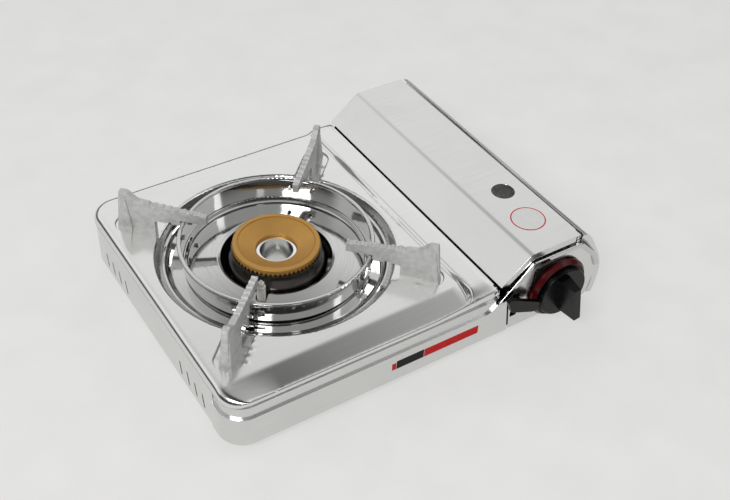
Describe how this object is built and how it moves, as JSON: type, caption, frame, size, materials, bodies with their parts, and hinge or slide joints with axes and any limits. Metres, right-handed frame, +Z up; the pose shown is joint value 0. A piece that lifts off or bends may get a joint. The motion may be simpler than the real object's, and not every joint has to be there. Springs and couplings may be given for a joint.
{
  "type": "camping stove",
  "caption": "Portable butane stove with a steel body, round burner, four-armed lift-off pan support and a hinged cartridge bay with knob and lock lever.",
  "frame": {"origin": "centre of the bounding box, on the surface that the feet stand on", "axes": "+X to the right towards the cartridge bay, +Y to the back, +Z up; the knob faces -Y"},
  "size_m": [0.343, 0.2846, 0.088],
  "materials": {
    "polished_steel": "bright polished stainless steel",
    "case_steel": "satin stainless steel",
    "mirror_steel": "mirror polished pressed steel",
    "bright_chrome": "chrome plated",
    "inner_steel": "plain galvanised sheet",
    "dark_steel": "dark polished pressed steel",
    "cast_arm": "nickel coloured satin coat on cast iron",
    "cap_brass": "machined brass",
    "brass": "turned brass",
    "copper": "bare copper",
    "zinc": "die-cast zinc",
    "black_plastic": "black moulded plastic",
    "red_plastic": "dark red printed ring",
    "ceramic": "glazed white ceramic",
    "foot_rubber": "black rubber",
    "wire_jacket": "silicone wire jacket"
  },
  "bodies": {
    "casing": {"base_tray": "case_steel", "front_panel": "case_steel", "top_plate": "polished_steel", "reflector_bowl": "mirror_steel", "burner_body": "dark_steel", "mixing_tube": "inner_steel", "burner_stand": "inner_steel", "electrode": "ceramic", "electrode_bracket": "inner_steel", "bay_shell": "case_steel", "bay_end": "case_steel", "heat_shield": "inner_steel", "control_panel": "case_steel", "chrome_trim": "bright_chrome", "dial_bezel": "black_plastic", "dial_plate": "black_plastic", "dial_ring": "red_plastic", "lever_bracket": "inner_steel", "lever_pin": "inner_steel", "carriage_guides": "inner_steel", "cartridge_cradle": "inner_steel", "regulator": "zinc", "regulator_cap": "zinc", "regulator_bracket": "inner_steel", "piezo_igniter": "black_plastic", "nozzle": "brass", "nozzle_bracket": "inner_steel", "gas_tube": "copper", "ignition_wire": "wire_jacket", "feet": "foot_rubber", "case_screws": "inner_steel", "hinge_pins": "inner_steel"},
    "trivet": {"trivet_ring": "mirror_steel", "trivet_arm_1": "cast_arm", "trivet_arm_2": "cast_arm", "trivet_arm_3": "cast_arm", "trivet_arm_4": "cast_arm", "arm_brackets": "mirror_steel", "arm_rivets": "bright_chrome"},
    "cap": {"burner_cap": "cap_brass"},
    "lid": {"lid": "polished_steel"},
    "knob": {"knob": "black_plastic", "valve_stem": "brass"},
    "lever": {"lock_lever": "black_plastic"},
    "carriage": {"carriage": "inner_steel"}
  },
  "joints": [
    {"name": "trivet_lift", "type": "slide", "parent": "casing", "child": "trivet", "axis": [0, 0, 1], "range_m": [0, 0.1]},
    {"name": "cap_lift", "type": "slide", "parent": "casing", "child": "cap", "axis": [0, 0, 1], "range_m": [0, 0.08]},
    {"name": "lid_hinge", "type": "hinge", "parent": "casing", "child": "lid", "pos_m": [0.1395, 0.01325, 0.078], "axis": [0, 1, 0], "range_deg": [0, 90]},
    {"name": "knob_turn", "type": "hinge", "parent": "casing", "child": "knob", "pos_m": [0.1219, -0.12475, 0.0354], "axis": [0, -1, 0], "range_deg": [0, 130]},
    {"name": "lever_press", "type": "hinge", "parent": "casing", "child": "lever", "pos_m": [0.0805, -0.08475, 0.039], "axis": [1, 0, 0], "range_deg": [0, 9]},
    {"name": "carriage_slide", "type": "slide", "parent": "casing", "child": "carriage", "axis": [0, -1, 0], "range_m": [0, 0.00235]}
  ],
  "couplings": [
    {"joint": "lever_press", "follows": "carriage_slide", "rad_per_m": 66.667}
  ]
}
